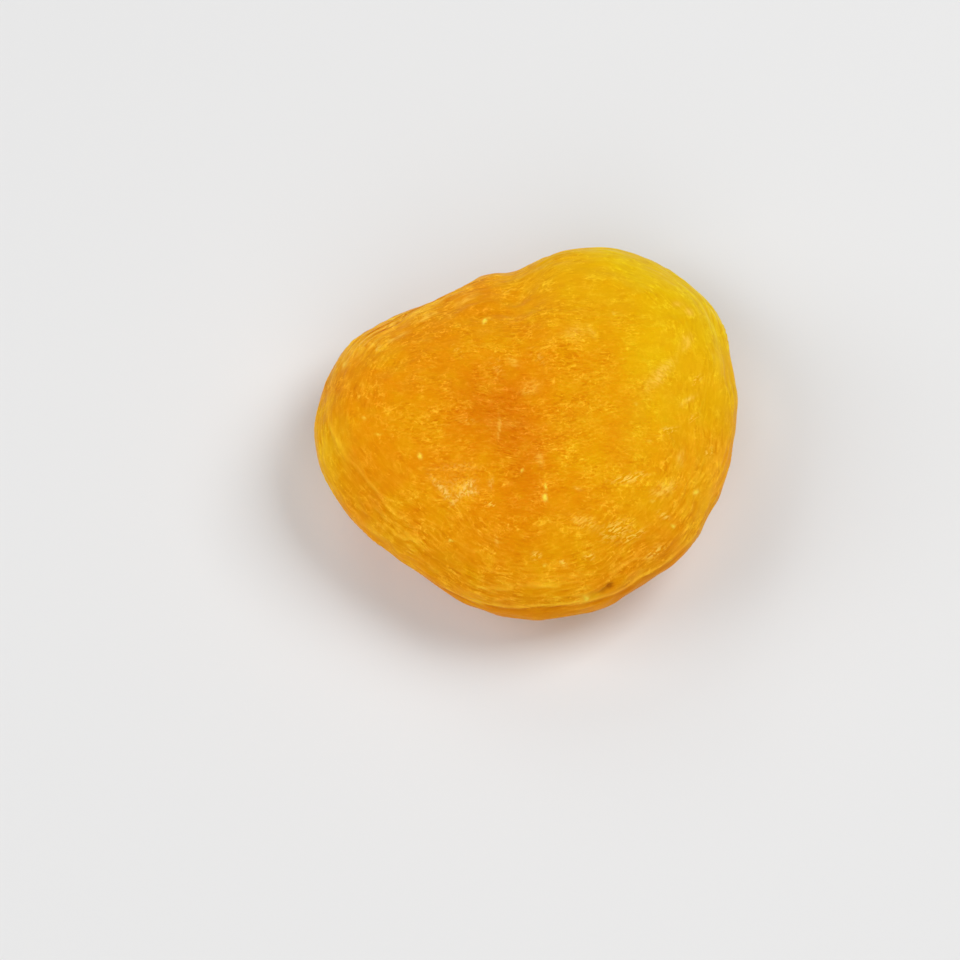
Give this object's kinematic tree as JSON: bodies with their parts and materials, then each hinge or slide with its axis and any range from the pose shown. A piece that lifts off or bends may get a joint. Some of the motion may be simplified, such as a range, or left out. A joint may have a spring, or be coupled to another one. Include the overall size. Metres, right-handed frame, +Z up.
{
  "type": "dried apricot",
  "caption": "Whole dried apricot, stoned and pressed flat: a rounded cushion with a sunken middle, soft cheeks, wrinkled sides and a closed slit round its front edge.",
  "frame": {"origin": "middle of the underside of the bounding box, on the surface that the fruit lies on", "axes": "+X along the longest extent of the pressed outline, +Y towards the stalk end, +Z up through the pressed faces, which is the shortest extent"},
  "size_m": [0.0398, 0.0386, 0.0135],
  "materials": {
    "apricot_skin": "satin"
  },
  "bodies": {
    "root": {"apricot": "apricot_skin"}
  },
  "joints": []
}
